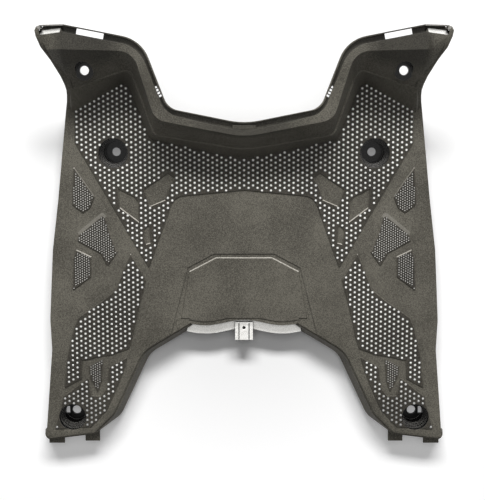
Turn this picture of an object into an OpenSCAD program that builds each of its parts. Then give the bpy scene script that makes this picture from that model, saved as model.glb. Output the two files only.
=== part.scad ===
// Moulded floorboard of a small scooter, one piece of black plastic.
// Origin: centre of the footprint, on the feet of the four bolt wells.
// +X to the right, +Y towards the horns at the front, +Z up.

/* [Overall] */
// Length from the heel tabs to the horn tips
overall_l = 442; // [430:1:460]
// Width across the heels of the two legs
heel_w = 426; // [416:1:440]
// Width across the shoulders, under the horns
shoulder_w = 367; // [362:1:376]
// Height of the deck above the feet of the bolt wells
deck_h = 30; // [26:1:40]
// Thickness of the moulded walls
wall = 2.6; // [2:0.1:3]
// Thickness of the deck plate
deck_t = 3.4; // [3:0.1:5]

/* [Front: riser, rim and horns] */
// Distance from the horn tips back to the rim at the middle of the neck
notch_l = 104; // [98:1:110]
// Width of the notch between the two neck corners
notch_w = 151.6; // [146:1:158]
// Height of the neck rim above the deck
riser_h = 44; // [36:1:52]
// Height of the horn rim above the deck
horn_h = 67; // [58:1:76]
// Horizontal run of the riser from its foot to the rim
riser_run = 25; // [20:1:30]
// Depth of the trough between rim and lip
trough_d = 6; // [4.5:0.5:8]
// Thickness of the front lip
lip_t = 1.4; // [1.2:0.1:2]
// How far the lip stands below the rim
lip_drop = 2; // [1:0.5:3]
// Width of the ledge half way up the riser
ledge_w = 2; // [1:0.5:3]
// Length of the slot in each horn's trough
horn_slot_l = 26; // [20:1:30]
// Width of the slot in each horn's trough
horn_slot_w = 5.6; // [4.6:0.1:5.8]

/* [Rear: legs, flange and tab] */
// Length of the legs behind the rear edge
leg_l = 130.7; // [124:1:138]
// Depth of the sinks in the wavy rear edge
wave_d = 6; // [4:0.5:8]
// Half width of the rear flange
flange_half = 59; // [56:1:62]
// Reach of the rear flange behind the deck edge
flange_out = 10.5; // [8:0.5:13]
// Reach of the flared leg skirt
skirt_out = 7.8; // [5:0.2:10]
// Depth of the leg skirt below the deck
skirt_d = 18; // [14:1:22]
// Depth of the outer skirt below the deck
side_d = 20; // [16:1:24]
// Width of the centre tab
tab_w = 19; // [16:1:24]
// Length of the centre tab behind the deck edge
tab_l = 23; // [20:1:28]
// Bore of the centre tab
tab_bore = 3.4; // [3:0.1:4.5]
// How far the heel tabs stand out
heel_tab = 8.3; // [6:0.1:10]

/* [Bolt wells] */
// Mouth radius of the front wells
front_well_r = 15.5; // [14:0.5:17]
// Mouth radius of the rear wells
rear_well_r = 14.4; // [13.5:0.5:16]
// Drop in radius at each step inside a well
well_step = 1.2; // [0.8:0.1:1.5]
// Height of each step inside a well
step_h = 4; // [3:0.5:5]
// Thickness of the well floors
well_floor = 3; // [2.5:0.5:4]
// Bolt hole radius in the front wells
front_bolt_r = 4.5; // [3.5:0.1:6]
// Bolt hole radius in the rear wells
rear_bolt_r = 4.7; // [3.5:0.1:5.5]
// Distance of the front wells from the middle line
front_well_x = 135.5; // [128:0.5:140]
// Distance of the rear wells from the outer edge of the legs
rear_well_in = 29.3; // [26:0.1:33]
// Radius of the fixing hole in each horn
horn_hole_r = 4.6; // [3.5:0.1:5.5]
// Distance of the horn fixing holes from the middle line
horn_hole_x = 158.5; // [154:0.5:163]

/* [Deck relief] */
// Height of the grip fields and facets above the deck
field_h = 1.2; // [0.8:0.1:1.6]
// Horizontal run of the slope round the grip fields
field_run = 1; // [0.6:0.1:1.4]
// Width of the broad chamfer in front of the middle facet
chamfer_w = 4.2; // [2:0.1:5]
// Depth of the groove round the middle panel
groove_d = 1; // [0.6:0.1:1.4]
// Width of the groove behind the middle panel
groove_w = 4.4; // [3:0.1:6]
// Thickness of the ribs under the deck
rib_t = 2; // [1.6:0.2:3]
// Depth of the ribs under the deck
rib_d = 10; // [6:1:14]

/* [Hidden] */
arc_n = 8;
tip_y = overall_l / 2;
neck_y = tip_y - notch_l;
heel_y = -overall_l / 2 + heel_tab;
rear_y = heel_y + leg_l;
foot_y = neck_y - 4.5 - riser_run;
deck_under = deck_h - deck_t;
field_z = deck_h + field_h;
foot_z = deck_under - 0.8;
rim_z = deck_h + riser_h;
horn_z = deck_h + horn_h;
neck_x = notch_w / 2;
shoulder_x = shoulder_w / 2;
heel_x = heel_w / 2;
edge_r = 1.4;
band_w = 6;
slab_inset = 3;
band_drop = 0.6;
heel_r = 4.2;
rear_well_x = heel_x - rear_well_in;
front_well_y = foot_y + 7;
rear_well_y = heel_y + 24.7;
horn_hole_y = tip_y - 43;
body_color = [0.16, 0.155, 0.145];

// Plane vectors
function unit(v) = v / norm(v);
function flat(p) = [p[0], p[1]];
function right_of(v) = [v[1], -v[0]];
function flip(v) = [-v[0], v[1]];
function reversed(list) = [for (i = [len(list) - 1 : -1 : 0]) list[i]];
function angle_of(v) = atan2(v[1], v[0]);
function turn(a) = a > 180 ? a - 360 : a < -180 ? a + 360 : a;

// Points of a round corner of radius r at b, between a and c, in n steps
function corner(a, b, c, r, n) =
    let (
        u = unit(a - b), w = unit(c - b), half = acos(u * w) / 2,
        centre = b + unit(u + w) * r / sin(half),
        first = b + u * r / tan(half), last = b + w * r / tan(half),
        a0 = angle_of(first - centre), sweep = turn(angle_of(last - centre) - a0)
    )
    [for (i = [0 : n]) centre + r * [cos(a0 + sweep * i / n), sin(a0 + sweep * i / n)]];

// A line through vertices [x, y, z, r], its corners rounded in steps[i]
function soft_line(v, steps) = [
    for (i = [0 : len(v) - 1])
        if (steps[i] == 0) [v[i][0], v[i][1], v[i][2]]
        else for (p = corner(flat(v[i - 1]), flat(v[i]), flat(v[i + 1]), v[i][3], steps[i]))
            [p[0], p[1], v[i][2]]
];

// The whole line from its right half, which starts on the middle line
function whole(v) = concat([for (p = reversed([for (i = [1 : len(v) - 1]) v[i]])) [-p[0], p[1], p[2], p[3]]], v);

// Faces between neighbouring loops of m points, n loops, and the two end caps
function tube_faces(n, m, caps) = concat(
    [for (j = [0 : n - 2], i = [0 : m - 1], upper = [0, 1])
        let (k = (i + 1) % m, a = j * m, b = a + m)
        upper ? [a + i, b + k, b + i] : [a + i, a + k, b + k]],
    [for (cap = caps) reversed(cap)],
    [for (cap = caps) [for (i = cap) (n - 1) * m + i]]
);

// Loops with steps put in where neighbours lie more than gap apart at point i
function filled(loops, i, gap) = concat(
    [for (j = [0 : len(loops) - 2])
        let (n = ceil(norm(loops[j + 1][i] - loops[j][i]) / gap))
        for (s = [0 : n - 1]) loops[j] + (loops[j + 1] - loops[j]) * s / n],
    [loops[len(loops) - 1]]
);

// Riser, rim, trough and lip
// Each line runs C, V1, V2, V3, V4: middle, neck corner, horn corner,
// outer border of the horn pocket, and horn edge.
line_steps = [0, 0, 0, arc_n, arc_n, 6, arc_n, arc_n, 0, 0, 0];
middle_r = 80;
border_x = shoulder_x - 9;
horn_end = shoulder_x + 8;

function front_line(c_y, v1, v2, v3, v4, z, r1, r2) = soft_line(whole([
    [0, c_y, z[0], middle_r],
    [v1[0], v1[1], z[1], r1],
    [v2[0], v2[1], z[2], r2],
    [v3[0], v3[1], z[3], 0],
    [v3[0] + 3, v3[1], z[3], 0],
    [v4[0], v4[1], z[4], 0]
]), line_steps);

foot_line = front_line(foot_y, [neck_x + 21.8, foot_y + 21.5], [neck_x + 44.7, foot_y + 80],
    [border_x, foot_y + 49.2], [shoulder_x - 4, foot_y + 53.5],
    [for (i = [0 : 4]) foot_z], 9, 6);
crease_line = front_line(foot_y + 10.5, [neck_x + 16.2, foot_y + 26], [neck_x + 38.2, foot_y + 91.5],
    [border_x - 2.7, foot_y + 73], [border_x + 1.3, foot_y + 72],
    [for (h = [0.5, 0.46, 0.7, 0.5, 0.44]) deck_h + riser_h * h], 10, 8);
rim_in_line = front_line(neck_y - 4.5, [neck_x + 12.7, neck_y + 12.7], [neck_x + 32.6, tip_y - 24.7],
    [border_x + 1.5, tip_y - 23.7], [horn_end - 0.5, tip_y - 23.8],
    [rim_z, rim_z + 3, rim_z + 10, horn_z - 1, horn_z - 6.8], 17, 20);
rim_out_line = front_line(neck_y, [neck_x + 2.2, neck_y + 18.5], [neck_x + 26.6, tip_y - 20.6],
    [border_x - 0.5, tip_y - 7.6], [horn_end + 5.5, tip_y - 10],
    [rim_z, rim_z + 3, rim_z + 10, horn_z, horn_z - 2.8], 23, 32);
lip_line = front_line(neck_y + 8.6, [neck_x, neck_y + 23.9], [neck_x + 24.5, tip_y - 13.6],
    [border_x - 0.5, tip_y], [horn_end + 3.5, tip_y - 0.4],
    [rim_z, rim_z + 3, rim_z + 10, horn_z, horn_z - 2.4], 18, 33);

shell_n = len(foot_line);
v3_first = 2;
function out_at(j) = unit(flat(rim_out_line[j]) - flat(rim_in_line[j]));
function shifted(p, j, out, up) =
    let (d = out_at(j)) [p[0] + d[0] * out, p[1] + d[1] * out, p[2] + up];
// The bevelled horn tip lies beyond the pocket's border, at either end
function at_tip(j) = j < v3_first || j > shell_n - 1 - v3_first;

function shell_top(j) =
    let (
        foot = foot_line[j], crease = crease_line[j], rim_out = rim_out_line[j], lip = lip_line[j],
        tip = at_tip(j), bevel_out = tip ? 4.2 : 0.1, bevel_up = tip ? -3.6 : -2,
        depth = tip ? trough_d + 1.6 : trough_d, lip_in = shifted(lip, j, -lip_t, 0)
    )
    [
        foot,
        [foot[0], foot[1], field_z - 1],
        crease,
        shifted(crease, j, ledge_w, 0.4),
        rim_in_line[j],
        rim_out,
        shifted(rim_out, j, bevel_out, bevel_up),
        shifted(rim_out, j, bevel_out + 0.2, -depth),
        [lip_in[0], lip_in[1], rim_out[2] - depth],
        [lip_in[0], lip_in[1], lip[2] - lip_drop],
        [lip[0], lip[1], lip[2] - lip_drop]
    ];

function shell_under(j, top) = [
    shifted(top[0], j, wall * 1.1, 0),
    shifted(top[1], j, wall * 1.1, -0.5),
    shifted(top[2], j, wall * 1.1, -wall * 0.7),
    shifted(top[3], j, wall, -wall * 0.9),
    shifted(top[4], j, wall * 0.8, -wall),
    shifted(top[5], j, -wall, -wall),
    shifted(top[6], j, -wall, -1.6),
    shifted(top[7], j, -wall, -wall),
    shifted(top[8], j, 0, -wall),
    [top[10][0], top[10][1], top[8][2] - wall]
];

module front_shell() {
    loops = filled(
        [for (j = [0 : shell_n - 1]) let (top = shell_top(j)) concat(top, reversed(shell_under(j, top)))],
        4, 20
    );
    m = len(loops[0]);
    last = m - 1;
    caps = concat(
        [for (i = [0 : 7]) [i, i + 1, last - i - 1, last - i]],
        [[10, 11, 12], [10, 12, 8], [10, 8, 9]]
    );
    polyhedron([for (loop = loops, p = loop) p], tube_faces(len(loops), m, caps), convexity = 8);
}

// Edge sweep round the deck: rear wave, flared legs, heels, outer side, horn edge
// A profile is a list of [out, up] from the edge line.
function edge_profile(inset, ledge, foot, under) = [
    [-inset, 0],
    [-edge_r, 0],
    [-edge_r * 0.3, -edge_r * 0.3],
    [0, -edge_r],
    [0, ledge[1]],
    [ledge[0], ledge[1] - 0.3],
    foot,
    foot - under,
    [ledge[0] - wall, ledge[1] - 0.3 - wall * 0.9],
    [-wall, -deck_t - band_drop],
    [-inset, -deck_t - band_drop]
];
profile_caps = [[0, 1, 9, 10], [1, 2, 3, 9], [3, 4, 8, 9], [4, 5, 8], [5, 6, 7, 8]];
rear_profile = edge_profile(band_w, [0.6, -7.2], [flange_out, -8.4], [0, wall]);
leg_profile = edge_profile(band_w, [1.8, -2.6], [skirt_out, -skirt_d], [wall, 0]);
heel_profile = edge_profile(heel_r - 0.4, [1.8, -2.6], [4.4, -skirt_d], [wall, 0]);
side_profile = edge_profile(band_w, [0.2, -2.6], [1, -side_d], [wall, 0]);
horn_profile = edge_profile(band_w + 1, [0.2, -2.6], [0.6, -14], [wall, 0]);
tip_profile = edge_profile(heel_r, [0.2, -2.6], [0.6, -14], [wall, 0]);

// The rear edge sinks to either side of the tab and comes up again
wave_half = 41;
function wave_y(x) = rear_y - wave_d * (1 - cos(180 * x / wave_half)) / 2;
rear_line = [for (x = [-flange_half : flange_half / 10 : flange_half]) [[x, wave_y(x)], deck_h, rear_profile]];

// Rising edge of the horn, from the shoulder to the tip
horn_edge = [
    [shoulder_x - 1.6, tip_y - 74.1, deck_h + 5, horn_profile],
    [shoulder_x - 3, tip_y - 68, deck_h + 12, horn_profile],
    [shoulder_x - 3.9, tip_y - 62, deck_h + horn_h * 0.3, horn_profile],
    [shoulder_x - 3.3, tip_y - 56.2, deck_h + horn_h * 0.42, horn_profile],
    [shoulder_x - 1.1, tip_y - 48.5, deck_h + horn_h * 0.55, horn_profile],
    [shoulder_x + 6.1, tip_y - 33.3, deck_h + horn_h * 0.75, horn_profile],
    [shoulder_x + 13.5, tip_y - 21.3, horn_z - 6, horn_profile],
    [shoulder_x + 17.2, tip_y - 11.1, horn_z - 2, tip_profile],
    [shoulder_x + 18.1, tip_y - 5.6, horn_z - 1, tip_profile],
    [shoulder_x + 16.5, tip_y - 2, horn_z - 1, tip_profile],
    [shoulder_x + 13, tip_y - 0.7, horn_z - 1, tip_profile]
];

// Vertices [x, y, r, steps, z, profile] of the right side, from the rear flange to the horn tip
side_vertices = concat(
    [
        [flange_half - 1.5, wave_y(flange_half - 1.5), 0, 0, deck_h, leg_profile],
        [heel_x - 105.6, rear_y - 34.3, 35, 6, deck_h, leg_profile],
        [heel_x - 73.5, heel_y + 28.2, 20, 5, deck_h, leg_profile],
        [heel_x - 52, heel_y + 6.7, heel_r + 1, 4, deck_h, heel_profile],
        [heel_x, heel_y, heel_r, 5, deck_h, heel_profile],
        [heel_x - 0.6, heel_y + 9, 0, 0, deck_h, side_profile],
        [heel_x - 8.6, rear_y - 32.5, 40, 4, deck_h, side_profile],
        [heel_x - 7.4, rear_y, 60, 4, deck_h, side_profile],
        [heel_x - 12, rear_y + 75, 0, 0, deck_h, side_profile],
        [shoulder_x + 10.5, foot_y - 41.5, 0, 0, deck_h, side_profile],
        [shoulder_x + 2.5, foot_y + 30.5, 0, 0, deck_h, side_profile],
        [shoulder_x, foot_y + 53.3, 0, 0, deck_h, side_profile]
    ],
    [for (s = horn_edge) [s[0], s[1], 0, 0, s[2], s[3]]]
);
// Stations [point, z, profile] after rounding the corners
side_line = [
    for (i = [0 : len(side_vertices) - 1])
        let (v = side_vertices[i])
        if (v[3] == 0) [flat(v), v[4], v[5]]
        else for (p = corner(flat(side_vertices[i - 1]), flat(v), flat(side_vertices[i + 1]), v[2], v[3]))
            [p, v[4], v[5]]
];

// Outward normal at a station
function edge_out(line, j) = unit(right_of(line[min(j + 1, len(line) - 1)][0] - line[max(j - 1, 0)][0]));
function inset_at(line, j, inset) = line[j][0] - edge_out(line, j) * inset;

module edge_sweep(line) {
    loops = [
        for (j = [0 : len(line) - 1])
            [for (q = reversed(line[j][2])) let (p = inset_at(line, j, -q[0])) [p[0], p[1], line[j][1] + q[1]]]
    ];
    m = len(side_profile);
    caps = [for (cap = profile_caps) [for (i = reversed(cap)) m - 1 - i]];
    polyhedron([for (loop = loops, p = loop) p], tube_faces(len(loops), m, caps), convexity = 8);
}

// Deck outline, inside the edge sweeps and under the foot of the riser
module deck_outline(inset, reach) {
    right = [
        for (j = [1 : len(side_line) - 1]) if (side_line[j][1] == deck_h) inset_at(side_line, j, inset)
    ];
    polygon(concat(
        reversed([for (p = right) flip(p)]),
        [for (j = [0 : len(rear_line) - 1]) inset_at(rear_line, j, inset)],
        right,
        reversed([for (j = [0 : shell_n - 1]) flat(shifted(foot_line[j], j, reach, 0))])
    ));
}

// Grip fields and facets, on the right half, mirrored for the left
module both_sides() {
    children();
    mirror([1, 0, 0]) children();
}

plateau_y = rear_y + 138;
field_tip = [100, plateau_y - 82];
field_out_x = border_x + 0.5;

module upper_field() {
    difference() {
        polygon(concat(
            [for (j = [0 : shell_n - 1]) if (!at_tip(j)) flat(shifted(foot_line[j], j, 2, 0))],
            [[field_out_x, foot_y + 17.5], field_tip],
            corner(field_tip, [73, plateau_y - 7], [0, plateau_y], 16, arc_n),
            [[0, plateau_y]],
            [for (p = reversed(corner(field_tip, [73, plateau_y - 7], [0, plateau_y], 16, arc_n))) flip(p)],
            [flip(field_tip), [-field_out_x, foot_y + 17.5]]
        ));
        both_sides() {
            translate([0, plateau_y]) {
                polygon([[104, 0.6], [79, 17.8], [72.3, 12.6], [79.2, 0], [82, -10.3], [98.4, -17.2]]);
                polygon([[131.3, 1.4], [114.7, -7], [110.3, -12.4], [109.9, -33.4], [129.6, -18.4], [130.6, -8]]);
                polygon([[104.7, -42], [101, -37.6], [98.5, -38.6], [98, -55.5], [102.7, -57], [104.8, -50.3]]);
            }
        }
    }
}

module lower_field() {
    translate([heel_x, rear_y])
        polygon([
            [-93.8, 71], [-109.7, 43], [-104, 21.6], [-98.5, 0], [-94, -21.6], [-90.5, -31],
            [-72, -38], [-59, -39.5], [-46, -43], [-40.5, -44], [-39.5, -64], [-21.5, -74],
            [-25.5, -38], [-29, -23.8], [-32.5, -8.6], [-37.1, 2.2], [-47.8, 9.8], [-61.8, 19.5],
            [-77.9, 32.3], [-82.3, 43]
        ]);
}

module heel_field() {
    translate([heel_x, rear_y])
        polygon([
            [-89, -40], [-69, -51.5], [-66.5, -74], [-59.5, -83], [-50, -82.5], [-46, -63],
            [-20.5, -83], [-14, -105], [-10, -119.5], [-49, -117], [-66, -98], [-73.5, -82],
            [-79.5, -68], [-84.5, -55]
        ]);
}

module facets() {
    translate([heel_x, plateau_y]) {
        polygon([[-35.9, 24], [-57.1, -7], [-52.2, -18.7], [-44.8, -24], [-34.1, -15.6]]);
        polygon([
            [-37.2, -63], [-52.7, -70.4], [-51.7, -84.2], [-51.8, -91.7], [-38.9, -101.4],
            [-32.5, -105.7], [-34.3, -71.5]
        ]);
    }
    translate([heel_x, rear_y])
        polygon([[-47.2, -50], [-63.2, -41.8], [-60.6, -67.5], [-56.7, -78.5], [-49.5, -63.6]]);
}

module middle_facet() {
    translate([heel_x, plateau_y])
        polygon([
            [-64.6, -22.6], [-69.3, -26.1], [-73.7, -44], [-81.2, -64], [-69.3, -81],
            [-60.6, -65.5], [-36.8, -52.4], [-38.1, -44]
        ]);
}

module fields() {
    upper_field();
    both_sides() {
        lower_field();
        heel_field();
    }
}

// Fields and facets stand on the deck with sloping sides. Their outlines lie half way up the slope.
relief_sink = 0.3;

module relief() {
    spread = field_run * (0.5 + relief_sink / field_h);
    translate([0, 0, deck_h - relief_sink]) minkowski() {
        linear_extrude(0.01) offset(delta = -field_run / 2) intersection() {
            union() {
                fields();
                both_sides() facets();
            }
            deck_outline(edge_r + field_run, 2.4);
        }
        cylinder(r1 = field_run / 2 + spread, r2 = 0.1, h = field_h + relief_sink - 0.01, $fn = 8);
    }
    both_sides() translate([0, 0, deck_h - relief_sink]) minkowski() {
        linear_extrude(0.01) offset(delta = -chamfer_w * 0.55) middle_facet();
        hull() {
            cylinder(r = chamfer_w * 0.62, h = 0.01, $fn = 8);
            translate([-chamfer_w * 0.07, -chamfer_w * 0.52, field_h + relief_sink - 0.02])
                cylinder(r = 0.3, h = 0.01, $fn = 8);
        }
    }
}

// Middle panel: an island in a shallow groove that opens into the rear edge.
// Its front and sides slope down into the groove.
module panel_front(grow) {
    half = [for (p = [[66, 2.2], [57.1, 51.6], [29.2, 66.2]]) [p[0], rear_y + p[1]]];
    offset(delta = grow) polygon(concat(half, [for (p = reversed(half)) flip(p)]));
}

module panel_rear() {
    last = len(rear_line) - 1;
    polygon(concat(
        [for (j = [0 : last]) inset_at(rear_line, j, groove_w)],
        [[flange_half - 4, rear_y + 14], [4 - flange_half, rear_y + 14]]
    ));
}

module panel_surround() {
    right = [[80, -24], [76.4, -10.2], [59.3, 56.2], [31.7, 71]];
    translate([0, rear_y]) polygon(concat(right, [for (p = reversed(right)) flip(p)]));
}

module panel_groove() {
    spare = 0.4;
    difference() {
        translate([0, 0, deck_h - groove_d]) linear_extrude(groove_d + spare) panel_surround();
        translate([0, 0, deck_h - groove_d - spare]) linear_extrude(groove_d + 3 * spare) panel_rear();
        hull() {
            translate([0, 0, deck_h - groove_d - spare])
                linear_extrude(0.01) panel_front(field_run * (1 + spare / groove_d));
            translate([0, 0, deck_h + 2 * spare])
                linear_extrude(0.01) panel_front(-field_run * 2 * spare / groove_d);
        }
    }
}

// Deck plate with its edges, groove and relief
module deck() {
    difference() {
        union() {
            translate([0, 0, deck_under]) linear_extrude(deck_t) deck_outline(slab_inset, 1.4);
            edge_sweep(rear_line);
            both_sides() edge_sweep(side_line);
        }
        panel_groove();
    }
    relief();
}

// Ribs under the deck
module ribs() {
    rib_x = [0, 50, 100, 150];
    rib_y = [for (i = [0 : 5]) heel_y + 40 + i * 45];
    intersection() {
        translate([0, 0, deck_under - rib_d]) linear_extrude(rib_d + 0.5) deck_outline(1, -1);
        union() {
            both_sides() for (x = rib_x)
                translate([x - rib_t / 2, -overall_l / 2, 0]) cube([rib_t, overall_l, deck_h]);
            for (y = rib_y)
                translate([-heel_x, y - rib_t / 2, 0]) cube([heel_w, rib_t, deck_h]);
        }
    }
}

// Bolt wells: stepped cups that reach down to the frame
well_steps = 3;
well_lip = 2;
function step_z(i) = deck_h - well_lip - (i + 1) * step_h;

module well_body(r) {
    for (i = [0 : well_steps - 1])
        translate([0, 0, step_z(i) - wall])
            cylinder(r = r - i * well_step + wall, h = step_h + wall - (i == 0 ? 0.7 : 0), $fn = 48);
    cylinder(r = r - well_steps * well_step + wall, h = step_z(well_steps - 1), $fn = 48);
}

module well_bore(r, bolt_r) {
    for (i = [0 : well_steps - 1])
        translate([0, 0, step_z(i)])
            cylinder(r = r - i * well_step, h = deck_h + 2 - step_z(i), $fn = 48);
    translate([0, 0, well_floor])
        cylinder(r = r - well_steps * well_step, h = deck_h, $fn = 48);
    translate([0, 0, -1]) cylinder(r = bolt_r, h = deck_h, $fn = 48);
}

module drain_slot(r) {
    reach = r - well_steps * well_step;
    translate([reach - 3.4, -4, -1]) cube([4.6, 8, well_floor + 4]);
}

// Horn fixing: a level seat in a cup that the pocket wall runs into
seat_z = deck_h + riser_h * 0.82;
seat_r = 8.4;

module above_pocket() {
    first = shell_n - 3 - arc_n - 1;
    last = shell_n - 3;
    loops = [
        for (j = [first : last])
            let (top = shell_top(j), a = shifted(top[3], j, -8, -9.5), b = shifted(top[4], j, 0, -0.8))
            [[a[0], a[1], horn_z + 30], [b[0], b[1], horn_z + 30], b, a]
    ];
    polyhedron([for (loop = loops, p = loop) p], tube_faces(len(loops), 4, [[0, 1, 2, 3]]), convexity = 4);
}

module horn_boss() {
    translate([horn_hole_x, horn_hole_y, seat_z - 4]) cylinder(r = seat_r + 1.4, h = 4, $fn = 48);
    difference() {
        translate([horn_hole_x, horn_hole_y, seat_z - 4])
            cylinder(r = seat_r + wall, h = horn_z - seat_z, $fn = 48);
        above_pocket();
    }
}

module horn_seat_cut() {
    translate([horn_hole_x, horn_hole_y, seat_z]) cylinder(r = seat_r, h = horn_h, $fn = 48);
    translate([horn_hole_x, horn_hole_y, seat_z - 10]) cylinder(r = horn_hole_r, h = 30, $fn = 48);
}

// Slots through the floor of the trough
module horn_slot() {
    a = rim_out_line[shell_n - 4];
    b = rim_out_line[shell_n - 3];
    slope = angle_of(flat(b) - flat(a));
    translate([border_x - 11.5, tip_y - 9, horn_z - 30]) rotate(slope)
        translate([-horn_slot_l, 0.1, 0]) cube([horn_slot_l, horn_slot_w, 34]);
}

module neck_slot() {
    a = rim_out_line[shell_n - 4 - arc_n - 1];
    b = rim_out_line[shell_n - 4 - arc_n];
    side = unit(flat(b) - flat(a));
    p = flat(a) + side * 12;
    translate([p[0], p[1], rim_z - 14]) rotate(angle_of(side))
        translate([0, 0.5, 0]) cube([20, 1.9, 12]);
}

// Clip block in the trough at the middle of the neck
module clip_block() {
    translate([-11.5, neck_y + 2.6, rim_z - trough_d - 1]) cube([23, 4.6, trough_d - 1]);
}

// Centre tab behind the rear edge
tab_z = deck_h - 6.6;
tab_t = 9;

module tab() {
    translate([-tab_w / 2, rear_y - tab_l, tab_z - tab_t]) cube([tab_w, tab_l - 3.5, tab_t]);
}

module tab_cuts() {
    translate([0, rear_y - 9.6, 0]) cylinder(d = tab_bore, h = deck_h, $fn = 32);
    for (x = [-5.4, 5.4])
        translate([x - 0.6, rear_y - tab_l - 1, tab_z - 0.9]) cube([1.2, tab_l - 4, 2]);
}

// Two tabs under the end of each leg
module heel_tabs() {
    translate([heel_x - 17.6, -overall_l / 2, deck_h - 15.5]) cube([16.6, heel_tab + 3, 3]);
    translate([heel_x - 56, -overall_l / 2 + 2.4, deck_h - 15.5]) cube([15.6, heel_tab + 3, 3]);
}

module floorboard() {
    color(body_color) difference() {
        union() {
            deck();
            front_shell();
            ribs();
            clip_block();
            tab();
            both_sides() {
                translate([front_well_x, front_well_y, 0]) well_body(front_well_r);
                translate([rear_well_x, rear_well_y, 0]) well_body(rear_well_r);
                horn_boss();
                heel_tabs();
            }
        }
        both_sides() {
            translate([front_well_x, front_well_y, 0]) well_bore(front_well_r, front_bolt_r);
            translate([rear_well_x, rear_well_y, 0]) {
                well_bore(rear_well_r, rear_bolt_r);
                drain_slot(rear_well_r);
            }
            horn_seat_cut();
            horn_slot();
            neck_slot();
        }
        tab_cuts();
    }
}

floorboard();
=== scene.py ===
"""Looks of a moulded scooter floorboard: grained black plastic, grip studs and dots, soft light.

All sizes are in metres. X is to the right, Y towards the horns at the front, Z up out of the deck.
The moulding is the merged CAD node, with one toothed slot cut on each side of its neck.
"""

import logging
import math
from dataclasses import dataclass, field
from enum import Enum
from typing import Callable, Sequence

import bmesh
import bpy
from mathutils import Matrix, Vector

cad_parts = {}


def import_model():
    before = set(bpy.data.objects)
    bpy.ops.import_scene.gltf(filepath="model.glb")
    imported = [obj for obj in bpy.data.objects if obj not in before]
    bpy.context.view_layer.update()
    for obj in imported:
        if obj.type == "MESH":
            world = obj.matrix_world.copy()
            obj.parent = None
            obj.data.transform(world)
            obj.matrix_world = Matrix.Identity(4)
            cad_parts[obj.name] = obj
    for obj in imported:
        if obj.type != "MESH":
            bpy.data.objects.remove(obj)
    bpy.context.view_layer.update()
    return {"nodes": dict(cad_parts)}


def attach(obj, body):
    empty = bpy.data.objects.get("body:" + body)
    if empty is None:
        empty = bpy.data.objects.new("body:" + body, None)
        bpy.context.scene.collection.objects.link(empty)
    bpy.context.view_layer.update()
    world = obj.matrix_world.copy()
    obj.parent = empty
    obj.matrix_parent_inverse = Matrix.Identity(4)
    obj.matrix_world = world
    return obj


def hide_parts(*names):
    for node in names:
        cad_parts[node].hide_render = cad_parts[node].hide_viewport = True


log = logging.getLogger("floorboard")

Colour = tuple[float, float, float, float]
Span = tuple[float, float]
MM = 0.001
NODE = "floorboard"
BODY = "root"


def rgb(red: float, green: float, blue: float) -> Colour:
    """An opaque colour in linear light."""
    return (red, green, blue, 1.0)


WHITE = rgb(1.0, 1.0, 1.0)
BLACK = rgb(0.0, 0.0, 0.0)


class Region(Enum):
    """Surfaces of the moulding that differ in finish and in painted highlight and shade, in the
    order of their material slots.
    """

    GRAINED = 0
    REFLECTION_SHEEN = 1
    WELL = 2
    GRIP = 3
    SLOPE = 4
    CHAMFER_HIGHLIGHT = 5
    TIP = 6


class Wire:
    """A node socket that takes part in arithmetic."""

    def __init__(self, sheet: "Sheet", socket: bpy.types.NodeSocket) -> None:
        """Wraps a socket.

        Args:
            sheet: the node sheet that the socket belongs to.
            socket: the output socket.
        """
        self.sheet = sheet
        self.socket = socket

    def _math(self, operation: str, *values: "Wire | float") -> "Wire":
        """One Math node on the given values."""
        return self.sheet.node("ShaderNodeMath", {"operation": operation}, dict(enumerate(values)))

    def __add__(self, other: "Wire | float") -> "Wire":
        """Sum."""
        return self._math("ADD", self, other)

    def __sub__(self, other: "Wire | float") -> "Wire":
        """Difference."""
        return self._math("SUBTRACT", self, other)

    def __rsub__(self, other: "Wire | float") -> "Wire":
        """Difference from a plain number."""
        return self._math("SUBTRACT", other, self)

    def __mul__(self, other: "Wire | float") -> "Wire":
        """Product."""
        return self._math("MULTIPLY", self, other)

    def __truediv__(self, other: "Wire | float") -> "Wire":
        """Quotient."""
        return self._math("DIVIDE", self, other)

    def __gt__(self, other: "Wire | float") -> "Wire":
        """1 where this value is the larger one."""
        return self._math("GREATER_THAN", self, other)

    def floor(self) -> "Wire":
        """Rounded down."""
        return self._math("FLOOR", self)

    def modulo(self, divisor: "Wire | float") -> "Wire":
        """Remainder of a division."""
        return self._math("MODULO", self, divisor)

    def absolute(self) -> "Wire":
        """Without its sign."""
        return self._math("ABSOLUTE", self)

    def clamped(self) -> "Wire":
        """Held between 0 and 1."""
        return self.sheet.node("ShaderNodeClamp", {}, {"Value": self})

    def ramp(self, start: float, end: float) -> "Wire":
        """0 up to the start and 1 from the end on, in a straight line between them."""
        return ((self - start) / (end - start)).clamped()


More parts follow.
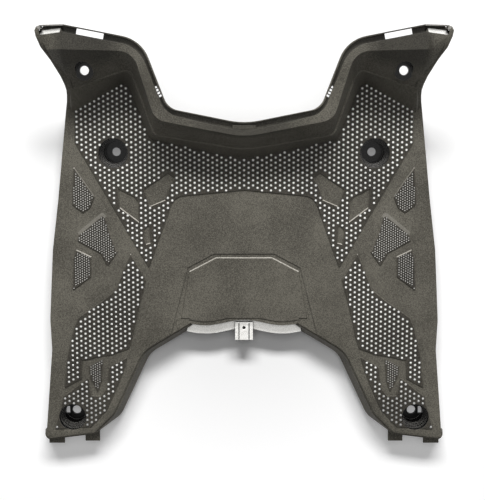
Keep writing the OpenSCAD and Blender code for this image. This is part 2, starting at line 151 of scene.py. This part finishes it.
class Sheet:
    """A node tree that is filled with one call for each node."""

    def __init__(self, tree: bpy.types.NodeTree) -> None:
        """Starts an empty sheet.

        Args:
            tree: the tree to fill.
        """
        self.tree = tree
        tree.nodes.clear()

    def feed(self, socket: bpy.types.NodeSocket, value: object) -> None:
        """Links a wire to a socket, or sets a plain value on it."""
        if isinstance(value, Wire):
            self.tree.links.new(value.socket, socket)
        else:
            socket.default_value = value

    def add(self, kind: str, settings: dict, inputs: dict) -> bpy.types.Node:
        """Adds a node.

        Args:
            kind: the node's type.
            settings: attributes that are set before the sockets.
            inputs: values or wires by socket name or number.

        Returns:
            The node.
        """
        node = self.tree.nodes.new(kind)
        for name, value in settings.items():
            setattr(node, name, value)
        for key, value in inputs.items():
            self.feed(node.inputs[key], value)
        return node

    def node(self, kind: str, settings: dict, inputs: dict, output: str | int = 0) -> Wire:
        """Adds a node and takes one of its outputs.

        Args:
            kind: the node's type.
            settings: attributes that are set before the sockets.
            inputs: values or wires by socket name or number.
            output: the name or number of the wanted output.

        Returns:
            The wanted output.
        """
        return Wire(self, self.add(kind, settings, inputs).outputs[output])

    def noise(self, place: Wire, per_m: float, detail: float) -> Wire:
        """Cloudy noise with so many cells to the metre."""
        inputs = {"Vector": place, "Scale": per_m, "Detail": detail}
        return self.node("ShaderNodeTexNoise", {}, inputs)

    def xyz(self, x: Wire | float, y: Wire | float, z: Wire | float) -> Wire:
        """A vector from three numbers."""
        return self.node("ShaderNodeCombineXYZ", {}, {"X": x, "Y": y, "Z": z})

    def parts(self, vector: Wire) -> tuple[Wire, ...]:
        """The three numbers of a vector."""
        apart = self.add("ShaderNodeSeparateXYZ", {}, {"Vector": vector})
        return tuple(Wire(self, apart.outputs[axis]) for axis in "XYZ")

    def blend(self, share: Wire | float, low: Wire | Colour, high: Wire | Colour) -> Wire:
        """A colour between two colours.

        Args:
            share: 0 for the low colour, 1 for the high one.
            low: the colour at 0.
            high: the colour at 1.

        Returns:
            The blended colour.
        """
        share_input, low_input, high_input, colour_output = 0, 6, 7, 2
        inputs = {share_input: share, low_input: low, high_input: high}
        return self.node("ShaderNodeMix", {"data_type": "RGBA"}, inputs, colour_output)


@dataclass(frozen=True)
class PaintedTopShade:
    """Painted shade: darker colour on the tops of the horns and of the rim at the neck."""

    colour: Colour = rgb(0.012, 0.011, 0.009)
    horn_z: Span = (66 * MM, 80 * MM)
    horn_outer_x: Span = (185 * MM, 176 * MM)
    horn_inner_x: Span = (118 * MM, 134 * MM)
    neck_z: Span = (68 * MM, 73 * MM)
    neck_x: Span = (62 * MM, 26 * MM)

    def share(self, sheet: Sheet, place: Wire) -> Wire:
        """How much painted shade there is at a place."""
        x, _, z = sheet.parts(place)
        x = x.absolute()
        horn = z.ramp(*self.horn_z) * x.ramp(*self.horn_outer_x) * x.ramp(*self.horn_inner_x)
        neck = z.ramp(*self.neck_z) * x.ramp(*self.neck_x)
        return (horn + neck).clamped()


@dataclass(frozen=True)
class CrownHighlight:
    """Painted highlight on the tops of studs, fainter in patches and at the rear."""

    base_z: float
    colour: Colour
    run: float = 0.12 * MM
    patch_gain: float = 0.9
    least: float = 0.5
    rear_y: Span = (-190 * MM, -130 * MM)
    rear_share: float = 0.4

    def share(self, sheet: Sheet, place: Wire, patches: Wire) -> Wire:
        """How much painted highlight a place gets.

        Args:
            sheet: the sheet to add to.
            place: the place on the stud.
            patches: broad noise that varies the highlight.

        Returns:
            0 for none, 1 for the full painted highlight.
        """
        _, y, z = sheet.parts(place)
        unfaded = y.ramp(*self.rear_y) * (1.0 - self.rear_share) + self.rear_share
        top = z.ramp(self.base_z, self.base_z + self.run)
        return top * (patches * self.patch_gain + self.least).clamped() * unfaded


@dataclass(frozen=True)
class Plastic:
    """Moulded plastic with a fine grain and broad patches, and the painted highlights and shade
    that lie over them.
    """

    name: str
    dark: Colour
    light: Colour
    roughness: float
    roughness_swing: float = 0.16
    metallic: float = 0.0
    gloss: float = 0.2
    grain_depth: float = 0.05 * MM
    grain_strength: float = 0.6
    grain_per_m: float = 1500.0
    coarse_share: float = 0.7
    speckle: float = 2.4
    patch_per_m: float = 22.0
    patch_gain: float = 1.2
    middle_tone: float = 0.45
    edge_radius: float = 0.45 * MM
    edge_gain: float = 4.0
    edge_highlight_and_wear: float = 0.35
    edge_highlight_and_wear_colour: Colour = rgb(0.33, 0.31, 0.27)
    crevice: float = 0.0
    crevice_share: float = 0.6
    crevice_open: float = 0.92
    crevice_gain: float = 2.2
    crevice_shade_colour: Colour = rgb(0.010, 0.009, 0.007)
    top_shade_share: float = 0.0
    painted_top_shade: PaintedTopShade = PaintedTopShade()
    crown_highlight: CrownHighlight | None = None

    def material(self) -> bpy.types.Material:
        """Builds the material.

        Returns:
            The material.
        """
        material = bpy.data.materials.new(self.name)
        material.use_nodes = True
        sheet = Sheet(material.node_tree)
        place = sheet.node("ShaderNodeTexCoord", {}, {}, "Object")
        flat = sheet.node("ShaderNodeNewGeometry", {}, {}, "Normal")
        rounded = sheet.node("ShaderNodeBevel", {"samples": 6}, {"Radius": self.edge_radius})
        patches = sheet.noise(place, self.patch_per_m, 2.0)
        colour = sheet.blend(self.tone(sheet, place, patches), self.dark, self.light)
        # Lighter edges: partly wear, partly painted highlight.
        colour = sheet.blend(self.edge(sheet, rounded, flat), colour, self.edge_highlight_and_wear_colour)
        # Painted shade in crevices, at the feet of walls and at seams.
        if self.crevice:
            colour = sheet.blend(self.painted_crevice_shade(sheet, flat), colour, self.crevice_shade_colour)
        # Painted shade on the tops of the horns and of the rim at the neck.
        if self.top_shade_share:
            shade = self.painted_top_shade.share(sheet, place) * self.top_shade_share
            colour = sheet.blend(shade, colour, self.painted_top_shade.colour)
        # Painted highlight on the crowns of studs and dots.
        if self.crown_highlight:
            highlight = self.crown_highlight.share(sheet, place, patches)
            colour = sheet.blend(highlight, colour, self.crown_highlight.colour)
        inputs = {
            "Base Color": colour,
            "Roughness": ((patches - 0.5) * self.roughness_swing + self.roughness).clamped(),
            "Specular IOR Level": self.gloss,
            "Metallic": self.metallic,
            "Normal": self.grain(sheet, place, rounded),
        }
        shader = sheet.node("ShaderNodeBsdfPrincipled", {}, inputs)
        sheet.add("ShaderNodeOutputMaterial", {}, {"Surface": shader})
        return material

    def tone(self, sheet: Sheet, place: Wire, patches: Wire) -> Wire:
        """Share of the light colour: broad patches with coarse and fine speckle."""
        coarse = sheet.noise(place, self.grain_per_m * self.coarse_share, 2.0)
        fine = sheet.noise(place, self.grain_per_m, 1.0)
        broad = (patches - 0.5) * self.patch_gain + self.middle_tone
        return (broad + (coarse - 0.5) * self.speckle + (fine - 0.5) * self.speckle).clamped()

    def edge(self, sheet: Sheet, rounded: Wire, flat: Wire) -> Wire:
        """Share of lighter edges, where the rounded normal turns away from the flat one: partly
        wear, partly painted highlight.
        """
        inputs = {0: rounded, 1: flat}
        facing = sheet.node("ShaderNodeVectorMath", {"operation": "DOT_PRODUCT"}, inputs, "Value")
        return ((1.0 - facing) * self.edge_gain).clamped() * self.edge_highlight_and_wear

    def painted_crevice_shade(self, sheet: Sheet, flat: Wire) -> Wire:
        """Share of painted shade in crevices, from ambient occlusion."""
        settings = {"samples": 6, "only_local": True}
        inputs = {"Distance": self.crevice, "Normal": flat}
        open_sky = sheet.node("ShaderNodeAmbientOcclusion", settings, inputs, "AO")
        hidden = (self.crevice_open - open_sky) * self.crevice_gain
        return hidden.clamped() * self.crevice_share

    def grain(self, sheet: Sheet, place: Wire, rounded: Wire) -> Wire:
        """The moulded grain, as a bump on the rounded normal."""
        inputs = {"Vector": place, "Scale": self.grain_per_m}
        cells = sheet.node("ShaderNodeTexVoronoi", {"feature": "SMOOTH_F1"}, inputs)
        inputs = {
            "Strength": self.grain_strength,
            "Distance": self.grain_depth,
            "Height": cells,
            "Normal": rounded,
        }
        return sheet.node("ShaderNodeBump", {}, inputs)


GRIP_Z = 31.2 * MM
STUD_H = 1.1 * MM
DOT_H = 0.5 * MM
SMOOTH_GRAIN = 0.01 * MM
# Reaches of the painted crevice shade: at walls and at the flange seam.
WALL_CREVICE = 28 * MM
SEAM_CREVICE = 5 * MM

GRAINED = Plastic(
    "grained_black",
    rgb(0.044, 0.0405, 0.0325),
    rgb(0.158, 0.148, 0.122),
    roughness=0.6,
    crevice=WALL_CREVICE,
    top_shade_share=0.62,
)
# Painted shade: the ground between the studs is darker than the grained deck.
GRIP_GROUND_SHADE = Plastic(
    "grip_ground_painted_shade",
    rgb(0.017, 0.015, 0.012),
    rgb(0.071, 0.065, 0.053),
    roughness=0.65,
    crevice=WALL_CREVICE,
)
# Painted reflection: near-white colour on the rear flange and the horn lips stands for the lamps
# mirrored in smooth black plastic.
REFLECTION_SHEEN = Plastic(
    "painted_reflection_edge",
    rgb(0.60, 0.59, 0.56),
    rgb(0.88, 0.87, 0.84),
    roughness=0.30,
    metallic=0.6,
    grain_depth=SMOOTH_GRAIN,
    edge_highlight_and_wear=0.0,
    crevice=SEAM_CREVICE,
    crevice_share=1.0,
)
# Painted shade: bolt wells and the horn cup are near black inside; their bright ledge edges are
# painted highlight.
WELL_SHADE_PAINT = Plastic(
    "well_painted_shade",
    rgb(0.003, 0.003, 0.003),
    rgb(0.010, 0.010, 0.009),
    roughness=0.22,
    gloss=0.12,
    grain_depth=SMOOTH_GRAIN,
    edge_radius=0.5 * MM,
    edge_highlight_and_wear=0.8,
    edge_highlight_and_wear_colour=rgb(0.40, 0.385, 0.36),
)
# Painted highlight: relief slopes facing the front lamp are much lighter.
PAINTED_SLOPE_HIGHLIGHT = Plastic(
    "slope_painted_highlight",
    rgb(0.27, 0.255, 0.22),
    rgb(0.51, 0.485, 0.44),
    roughness=0.35,
    edge_highlight_and_wear=0.0,
)
# Milder painted highlight: relief faces turned partly to the front lamp are lighter.
CHAMFER_HIGHLIGHT = Plastic(
    "chamfer_painted_highlight",
    rgb(0.12, 0.113, 0.096),
    rgb(0.205, 0.195, 0.168),
    roughness=0.45,
)
# Painted highlight: the upper faces at the horn tips are lighter, where the front lamp catches
# them.
HORN_TIP_SHEEN = Plastic(
    "horn_tip_painted_sheen",
    rgb(0.16, 0.153, 0.14),
    rgb(0.31, 0.30, 0.28),
    roughness=0.35,
    edge_highlight_and_wear=0.0,
)
# Studs and dots: the near-black bodies are painted shade, the bright crowns painted highlight.
STUD = Plastic(
    "stud_painted_shade_and_highlight",
    rgb(0.004, 0.0036, 0.003),
    rgb(0.012, 0.011, 0.009),
    roughness=0.3,
    gloss=0.8,
    grain_depth=SMOOTH_GRAIN,
    edge_highlight_and_wear=0.0,
    crown_highlight=CrownHighlight(GRIP_Z + 0.66 * STUD_H, rgb(0.92, 0.91, 0.87)),
)
DOT = Plastic(
    "dot_painted_shade_and_highlight",
    rgb(0.006, 0.0055, 0.0045),
    rgb(0.016, 0.0145, 0.012),
    roughness=0.3,
    gloss=0.6,
    grain_depth=SMOOTH_GRAIN,
    edge_highlight_and_wear=0.0,
    crown_highlight=CrownHighlight(GRIP_Z + 0.76 * DOT_H, rgb(0.72, 0.70, 0.64)),
)
FINISHES: dict[Region, Plastic] = {
    Region.GRAINED: GRAINED,
    Region.REFLECTION_SHEEN: REFLECTION_SHEEN,
    Region.WELL: WELL_SHADE_PAINT,
    Region.GRIP: GRIP_GROUND_SHADE,
    Region.SLOPE: PAINTED_SLOPE_HIGHLIGHT,
    Region.CHAMFER_HIGHLIGHT: CHAMFER_HIGHLIGHT,
    Region.TIP: HORN_TIP_SHEEN,
}


def placed(name: str, data: bpy.types.ID) -> bpy.types.Object:
    """Makes an object and links it to the scene.

    Args:
        name: the name of the object.
        data: its mesh, lamp or camera.

    Returns:
        The object.
    """
    obj = bpy.data.objects.new(name, data)
    bpy.context.collection.objects.link(obj)
    return obj


def finished(obj: bpy.types.Object, *covered: str) -> None:
    """Declares a piece to the frame.

    Args:
        obj: the finished piece.
        covered: the nodes that the piece stands for.
    """
    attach(obj, BODY)
    if covered:
        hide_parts(*covered)
    log.info("%s: %d faces", obj.name, len(obj.data.polygons))


@dataclass(frozen=True)
class NeckSlots:
    """A slot with three teeth in the gutter on each side of the neck."""

    front_end: tuple[float, float] = (88.3 * MM, 162.6 * MM)
    rear_end: tuple[float, float] = (82.1 * MM, 151.9 * MM)
    openings: int = 4
    tooth: float = 1.0 * MM
    width: float = 3.0 * MM
    bottom: float = 60.0 * MM
    top: float = 76.0 * MM

    def cutter(self) -> bpy.types.Object:
        """Builds the blocks that cut the slots.

        Returns:
            One object with a block for each opening.
        """
        mesh = bpy.data.meshes.new("neck_slot_cutter")
        cage = bmesh.new()
        for side in (-1, 1):
            front = Vector((side * self.front_end[0], self.front_end[1], 0.0))
            rear = Vector((side * self.rear_end[0], self.rear_end[1], 0.0))
            along = rear - front
            length = along.length / self.openings - self.tooth
            size = Matrix.Diagonal((length, self.width, self.top - self.bottom, 1.0))
            turn = Matrix.Rotation(math.atan2(along.y, along.x), 4, "Z")
            for index in range(self.openings):
                middle = front + along * ((index + 0.5) / self.openings)
                middle.z = (self.bottom + self.top) / 2
                block = Matrix.Translation(middle) @ turn @ size
                bmesh.ops.create_cube(cage, size=1.0, matrix=block)
        cage.to_mesh(mesh)
        cage.free()
        return placed("neck_slot_cutter", mesh)

    def cut(self, shell: bpy.types.Object) -> None:
        """Cuts the openings into the moulding.

        Args:
            shell: the merged moulding.
        """
        cutter = self.cutter()
        modifier = shell.modifiers.new("neck_slots", "BOOLEAN")
        modifier.operation = "DIFFERENCE"
        modifier.solver = "EXACT"
        modifier.object = cutter
        graph = bpy.context.evaluated_depsgraph_get()
        shell.data = bpy.data.meshes.new_from_object(shell.evaluated_get(graph))
        shell.modifiers.remove(modifier)
        bpy.data.objects.remove(cutter)


def above(limit: float) -> Span:
    """Everything over a limit."""
    return (limit, math.inf)


def below(limit: float) -> Span:
    """Everything under a limit."""
    return (-math.inf, limit)


@dataclass(frozen=True)
class Zone:
    """A box on either half of the moulding, and the least tilt of its faces."""

    x: Span = below(math.inf)
    y: Span = below(math.inf)
    z: Span = below(math.inf)
    up: float = -math.inf
    forward: float = -math.inf

    def holds(self, place: Vector, normal: Vector) -> bool:
        """Tells if a face belongs to the zone.

        Args:
            place: the middle of the face.
            normal: its normal.

        Returns:
            True inside the box, where the normal points up and forward enough.
        """
        at = (abs(place.x), place.y, place.z)
        inside = all(low < v < high for v, (low, high) in zip(at, (self.x, self.y, self.z)))
        return inside and normal.z > self.up and normal.y > self.forward


@dataclass(frozen=True)
class Well:
    """A round recess on either half, at the heights where its painted shade lies."""

    x: float
    y: float
    radius: float
    heights: tuple[Span, ...]

    def holds(self, place: Vector) -> bool:
        """Tells if the middle of a face belongs to the recess."""
        level = any(low < place.z < high for low, high in self.heights)
        return level and math.hypot(abs(place.x) - self.x, place.y - self.y) < self.radius


BOLT_WELL_Z: tuple[Span, ...] = (below(29.6 * MM), (31.4 * MM, 40 * MM))
WELLS = (
    Well(135.5 * MM, 94.5 * MM, 17.1 * MM, BOLT_WELL_Z),
    Well(183.7 * MM, -188.0 * MM, 16.0 * MM, BOLT_WELL_Z),
    Well(158.5 * MM, 178.0 * MM, 8.7 * MM, (above(60 * MM),)),
)
RELIEF_Z: Span = (28.9 * MM, 31.3 * MM)
RELIEF = (
    Zone(x=below(200 * MM), y=above(-26 * MM), z=RELIEF_Z, up=0.2, forward=0.04),
    Zone(x=below(75 * MM), z=RELIEF_Z, up=0.2, forward=0.04),
)
# Faces at the horn tips that get painted highlight.
TIPS = (
    Zone(x=above(172 * MM), y=above(217 * MM), z=above(91 * MM), up=0.8),
    Zone(x=above(207 * MM), y=above(207 * MM), z=above(90 * MM), up=0.25),
)
# Faces with painted reflection: the rear flange and the forward faces at the horn tips.
PAINTED_REFLECTION_ZONES = (
    Zone(x=below(60 * MM), y=(-106 * MM, -80 * MM), z=(15 * MM, 24 * MM), up=0.7),
    Zone(x=above(176 * MM), y=above(207 * MM), up=0.2, forward=0.2),
)


@dataclass
class Moulding:
    """The moulded tray itself, with its surfaces sorted by finish and by painted highlight and
    shade.
    """

    cad: bpy.types.Object
    merge_distance: float = 0.001 * MM
    smooth_angle: float = math.radians(28)
    level_up: float = 0.999
    level_slack: float = 0.05 * MM
    relief_up: float = 0.985
    slope_up: float = 0.9
    slope_forward: float = 0.7
    chamfer_forward: float = 0.5
    shell: bpy.types.Object = field(init=False)

    def build(self) -> None:
        """Makes the merged copy of the CAD node and cuts the slots at its neck."""
        mesh = bpy.data.meshes.new("moulding")
        cage = bmesh.new()
        cage.from_mesh(self.cad.data)
        bmesh.ops.remove_doubles(cage, verts=cage.verts, dist=self.merge_distance)
        cage.to_mesh(mesh)
        cage.free()
        if "custom_normal" in mesh.attributes:
            mesh.attributes.remove(mesh.attributes["custom_normal"])
        self.shell = placed("moulding", mesh)
        NeckSlots().cut(self.shell)
        self.shell.data.shade_smooth()
        self.shell.data.set_sharp_from_angle(angle=self.smooth_angle)

    def region(self, place: Vector, normal: Vector) -> Region:
        """Finds the finish of a face, with its painted highlight and shade.

        Args:
            place: the middle of the face.
            normal: its normal.

        Returns:
            The region that the face belongs to.
        """
        # Recesses get painted shade.
        if any(well.holds(place) for well in WELLS):
            return Region.WELL
        # Grip tops take the darker ground, which is painted shade between the studs.
        if self.is_grip(place, normal):
            return Region.GRIP
        # Relief faces turned to the front lamp get painted highlight, brighter on the steeper
        # slopes.
        if normal.z < self.relief_up and any(zone.holds(place, normal) for zone in RELIEF):
            forward = normal.y / math.hypot(normal.x, normal.y)
            if forward > self.slope_forward and normal.z < self.slope_up:
                return Region.SLOPE
            if forward > self.chamfer_forward:
                return Region.CHAMFER_HIGHLIGHT
        if any(zone.holds(place, normal) for zone in TIPS):
            return Region.TIP
        if any(zone.holds(place, normal) for zone in PAINTED_REFLECTION_ZONES):
            return Region.REFLECTION_SHEEN
        return Region.GRAINED

    def is_grip(self, place: Vector, normal: Vector) -> bool:
        """True for the level top of a grip field or facet."""
        return normal.z > self.level_up and abs(place.z - GRIP_Z) < self.level_slack

    def dress(self) -> None:
        """Gives each face the material of its region."""
        mesh = self.shell.data
        mesh.materials.clear()
        for region in Region:
            mesh.materials.append(FINISHES[region].material())
        for face in mesh.polygons:
            face.material_index = self.region(face.center, face.normal).value

    def pad(self, name: str, wanted: Callable[[float], bool]) -> bpy.types.Object:
        """Copies the level tops whose area is wanted.

        Args:
            name: the name of the new object.
            wanted: tells from the area of one connected top if it is copied.

        Returns:
            An object that holds only those faces.
        """
        cage = bmesh.new()
        cage.from_mesh(self.shell.data)
        other = [f for f in cage.faces if not self.is_grip(f.calc_center_median(), f.normal)]
        bmesh.ops.delete(cage, geom=other, context="FACES")
        rest = set(cage.faces)
        unwanted = []
        while rest:
            island = [rest.pop()]
            for face in island:
                for neighbour in {f for edge in face.edges for f in edge.link_faces} & rest:
                    rest.discard(neighbour)
                    island.append(neighbour)
            if not wanted(sum(face.calc_area() for face in island)):
                unwanted += island
        bmesh.ops.delete(cage, geom=unwanted, context="FACES")
        mesh = bpy.data.meshes.new(name)
        cage.to_mesh(mesh)
        cage.free()
        return placed(name, mesh)


@dataclass(frozen=True)
class StudPattern:
    """Studs on a lattice of upright columns, every second column half a pitch lower."""

    name: str
    finish: Plastic
    pitch: float
    radius: float
    height: float
    margin: float
    segments: int
    rings: int
    start_y: float = 68.9 * MM
    column_share: float = 0.889
    reach: float = 220 * MM
    drop: float = 1.0
    waterline: float = -0.01
    buried_thinning: float = 0.7

    def sockets(self) -> dict[str, tuple[str, object]]:
        """The inputs of the geometry nodes.

        Returns:
            Kind and value by label. The pad itself has no value.
        """
        step = self.pitch * self.column_share
        return {
            "Pad": ("NodeSocketGeometry", None),
            "Pitch": ("NodeSocketFloat", self.pitch),
            "Column Step": ("NodeSocketFloat", step),
            "Start Y": ("NodeSocketFloat", self.start_y),
            "Margin": ("NodeSocketFloat", self.margin),
            "Radius": ("NodeSocketFloat", self.radius),
            "Height": ("NodeSocketFloat", self.height),
            "Columns": ("NodeSocketInt", 2 * int(self.reach / step) + 1),
            "Rows": ("NodeSocketInt", 2 * int(2 * self.reach / self.pitch)),
            "Finish": ("NodeSocketMaterial", self.finish.material()),
        }

    def tree(self, sockets: dict[str, tuple[str, object]]) -> bpy.types.NodeTree:
        """Builds the geometry nodes.

        Args:
            sockets: the inputs of the group.

        Returns:
            The tree.
        """
        tree = bpy.data.node_groups.new(self.name, "GeometryNodeTree")
        for label, (kind, _) in sockets.items():
            tree.interface.new_socket(label, in_out="INPUT", socket_type=kind)
        tree.interface.new_socket("Studs", in_out="OUTPUT", socket_type="NodeSocketGeometry")
        sheet = Sheet(tree)
        group = sheet.add("NodeGroupInput", {}, {})
        given = {socket.name: Wire(sheet, socket) for socket in group.outputs if socket.name}
        inputs = {"Points": self.points(sheet, given), "Instance": self.dome(sheet, given)}
        studs = sheet.node("GeometryNodeInstanceOnPoints", {}, inputs)
        real = sheet.node("GeometryNodeRealizeInstances", {}, {"Geometry": studs})
        smooth = sheet.node("GeometryNodeSetShadeSmooth", {}, {"Geometry": real})
        inputs = {"Geometry": smooth, "Material": given["Finish"]}
        dressed = sheet.node("GeometryNodeSetMaterial", {}, inputs)
        sheet.add("NodeGroupOutput", {}, {"Studs": dressed})
        return tree

    def points(self, sheet: Sheet, given: dict[str, Wire]) -> Wire:
        """Drops the lattice onto the pad and keeps what lands clear of the pad's rim.

        Args:
            sheet: the sheet to add to.
            given: the group's inputs by label.

        Returns:
            The points that carry a stud.
        """
        index = sheet.node("GeometryNodeInputIndex", {}, {})
        column = (index / given["Rows"]).floor()
        row = index.modulo(given["Rows"]) + column.modulo(2.0) * 0.5
        x = (column - given["Columns"] * 0.5 + 0.5) * given["Column Step"]
        y = (row - (given["Rows"] * 0.5).floor()) * given["Pitch"] + given["Start Y"]
        inputs = {"Vertices X": given["Columns"], "Vertices Y": given["Rows"]}
        grid = sheet.node("GeometryNodeMeshGrid", {}, inputs)
        inputs = {"Geometry": grid, "Position": sheet.xyz(x, y, self.drop)}
        lattice = sheet.node("GeometryNodeSetPosition", {}, inputs)
        inputs = {
            "Target Geometry": given["Pad"],
            "Source Position": sheet.node("GeometryNodeInputPosition", {}, {}),
            "Ray Direction": (0.0, 0.0, -1.0),
            "Ray Length": 2.0 * self.drop,
        }
        ray = sheet.add("GeometryNodeRaycast", {}, inputs)
        hit = Wire(sheet, ray.outputs["Hit Position"])
        one_sided = 1.5 - sheet.node("GeometryNodeInputMeshEdgeNeighbors", {}, {}) > 0.0
        inputs = {"Geometry": given["Pad"], "Selection": one_sided}
        rim = sheet.node("GeometryNodeSeparateGeometry", {"domain": "EDGE"}, inputs)
        inputs = {0: rim, "Source Position": hit}
        settings = {"target_element": "EDGES"}
        near = sheet.node("GeometryNodeProximity", settings, inputs, "Distance")
        keep = Wire(sheet, ray.outputs["Is Hit"]) * (near > given["Margin"])
        inputs = {"Geometry": lattice, "Selection": keep}
        kept = sheet.node("GeometryNodeSeparateGeometry", {"domain": "POINT"}, inputs)
        return sheet.node("GeometryNodeSetPosition", {}, {"Geometry": kept, "Position": hit})

    def dome(self, sheet: Sheet, given: dict[str, Wire]) -> Wire:
        """Shapes one stud: a flattened ball with its lower half pressed thinner still.

        Args:
            sheet: the sheet to add to.
            given: the group's inputs by label.

        Returns:
            The stud.
        """
        inputs = {"Segments": self.segments, "Rings": self.rings, "Radius": 1.0}
        ball = sheet.node("GeometryNodeMeshUVSphere", {}, inputs)
        x, y, z = sheet.parts(sheet.node("GeometryNodeInputPosition", {}, {}))
        low = 1.0 - (z > self.waterline)
        place = sheet.xyz(
            x * given["Radius"],
            y * given["Radius"],
            z * given["Height"] * (1.0 - low * self.buried_thinning),
        )
        return sheet.node("GeometryNodeSetPosition", {}, {"Geometry": ball, "Position": place})

    def build(self, pad: bpy.types.Object) -> bpy.types.Object:
        """Grows the studs on a pad.

        Args:
            pad: an object that holds the level faces of the pad.

        Returns:
            A plain mesh object with all the studs. The pad is removed.
        """
        sockets = self.sockets()
        modifier = pad.modifiers.new(self.name, "NODES")
        modifier.node_group = self.tree(sockets)
        for item in modifier.node_group.interface.items_tree:
            if item.in_out == "INPUT" and sockets[item.name][1] is not None:
                modifier[item.identifier] = sockets[item.name][1]
        graph = bpy.context.evaluated_depsgraph_get()
        mesh = bpy.data.meshes.new_from_object(pad.evaluated_get(graph))
        mesh.name = self.name
        pad.modifiers.remove(modifier)
        bpy.data.objects.remove(pad)
        return placed(self.name, mesh)


@dataclass(frozen=True)
class Lamp:
    """A rectangular area lamp that faces the deck."""

    name: str
    place: tuple[float, float, float]
    size: tuple[float, float]
    watts: float

    def build(self) -> None:
        """Sets the lamp up."""
        data = bpy.data.lights.new(self.name, "AREA")
        data.shape = "RECTANGLE"
        data.size, data.size_y = self.size
        data.energy = self.watts
        lamp = placed(self.name, data)
        lamp.location = self.place
        lamp.rotation_euler = (-Vector(self.place)).to_track_quat("-Z", "Y").to_euler()


@dataclass(frozen=True)
class Studio:
    """Pale floor, soft lamps and the camera."""

    floor_half: float = 4.0
    floor_colour: Colour = rgb(0.92, 0.92, 0.92)
    floor_glow: float = 0.20
    glow_past_shade_reach: Span = (0.12, 0.26)
    white_reach: Span = (0.7, 2.3)
    fill: float = 0.04
    lamps: tuple[Lamp, ...] = (
        Lamp("front_window", (0.15, 3.8, 3.05), (3.0, 0.8), 295.0),
        Lamp("overhead_box", (0.0, 0.6, 2.8), (2.1, 2.1), 21.0),
    )
    camera_place: tuple[float, float, float] = (-0.0016, 0.1497, 1.1309)
    camera_tilt: float = math.radians(8.1)
    focal_px: float = 1059.0
    width_px: float = 485.0

    def build(self) -> None:
        """Sets up floor, world, lamps, camera and colour management."""
        self.floor()
        self.world()
        for lamp in self.lamps:
            lamp.build()
        self.camera()
        bpy.context.scene.view_settings.view_transform = "Standard"

    def floor(self) -> None:
        """A wide pale floor under the feet of the bolt wells, whiter to the eye further out; close
        round the part it lacks that glow, which is painted shade.
        """
        mesh = bpy.data.meshes.new("floor")
        h = self.floor_half
        mesh.from_pydata([(-h, -h, 0), (h, -h, 0), (h, h, 0), (-h, h, 0)], [], [(0, 1, 2, 3)])
        plane = placed("floor", mesh)
        material = bpy.data.materials.new("pale_floor")
        material.use_nodes = True
        sheet = Sheet(material.node_tree)
        seen = sheet.node("ShaderNodeLightPath", {}, {}, "Is Camera Ray")
        matt = sheet.node("ShaderNodeBsdfDiffuse", {}, {"Color": self.floor_colour})
        place = sheet.node("ShaderNodeTexCoord", {}, {}, "Object")
        away = sheet.node("ShaderNodeVectorMath", {"operation": "LENGTH"}, {0: place}, "Value")
        # Painted shade: the glow is left out near the part, so the floor reads darker around and
        # under it.
        near = away.ramp(*self.glow_past_shade_reach) * self.floor_glow
        share = (near + away.ramp(*self.white_reach)).clamped() * seen
        inputs = {"Color": sheet.blend(share, BLACK, WHITE), "Strength": 1.0}
        glow = sheet.node("ShaderNodeEmission", {}, inputs)
        shader = sheet.node("ShaderNodeAddShader", {}, {0: matt, 1: glow})
        sheet.add("ShaderNodeOutputMaterial", {}, {"Surface": shader})
        mesh.materials.append(material)

    def world(self) -> None:
        """White to the eye and to reflections, a grey fill to the surfaces."""
        world = bpy.data.worlds.new("studio")
        bpy.context.scene.world = world
        world.use_nodes = True
        sheet = Sheet(world.node_tree)
        rays = sheet.add("ShaderNodeLightPath", {}, {})
        camera = Wire(sheet, rays.outputs["Is Camera Ray"])
        glossy = Wire(sheet, rays.outputs["Is Glossy Ray"])
        through = Wire(sheet, rays.outputs["Is Transmission Ray"])
        seen = (camera + glossy + through).clamped()
        fill = sheet.node("ShaderNodeBackground", {}, {"Color": WHITE, "Strength": self.fill})
        white = sheet.node("ShaderNodeBackground", {}, {"Color": WHITE, "Strength": 1.0})
        both = sheet.node("ShaderNodeMixShader", {}, {0: seen, 1: fill, 2: white})
        sheet.add("ShaderNodeOutputWorld", {}, {"Surface": both})

    def camera(self) -> None:
        """The camera, almost straight above the deck."""
        data = bpy.data.cameras.new("camera")
        data.sensor_fit = "HORIZONTAL"
        data.lens = data.sensor_width * self.focal_px / self.width_px
        camera = placed("camera", data)
        camera.location = self.camera_place
        camera.rotation_euler = (-self.camera_tilt, 0.0, 0.0)
        bpy.context.scene.camera = camera


GRIP_STUDS = StudPattern(
    "grip_studs",
    STUD,
    pitch=5.25 * MM,
    radius=1.75 * MM,
    height=STUD_H,
    margin=0.8 * MM,
    segments=10,
    rings=6,
)
FACET_DOTS = StudPattern(
    "facet_dots",
    DOT,
    pitch=2.62 * MM,
    radius=1.2 * MM,
    height=DOT_H,
    margin=0.6 * MM,
    segments=6,
    rings=6,
)
LARGEST_FACET = 1450 * MM * MM


def main() -> None:
    """Builds the whole scene."""
    logging.basicConfig(level=logging.INFO, format="%(name)s: %(message)s")
    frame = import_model()
    moulding = Moulding(frame["nodes"][NODE])
    moulding.build()
    studs = [
        GRIP_STUDS.build(moulding.pad("grip_pad", lambda area: area > LARGEST_FACET)),
        FACET_DOTS.build(moulding.pad("facet_pad", lambda area: area <= LARGEST_FACET)),
    ]
    moulding.dress()
    finished(moulding.shell, NODE)
    for piece in studs:
        finished(piece)
    Studio().build()
    bpy.context.view_layer.update()


if __name__ == "__main__":
    main()
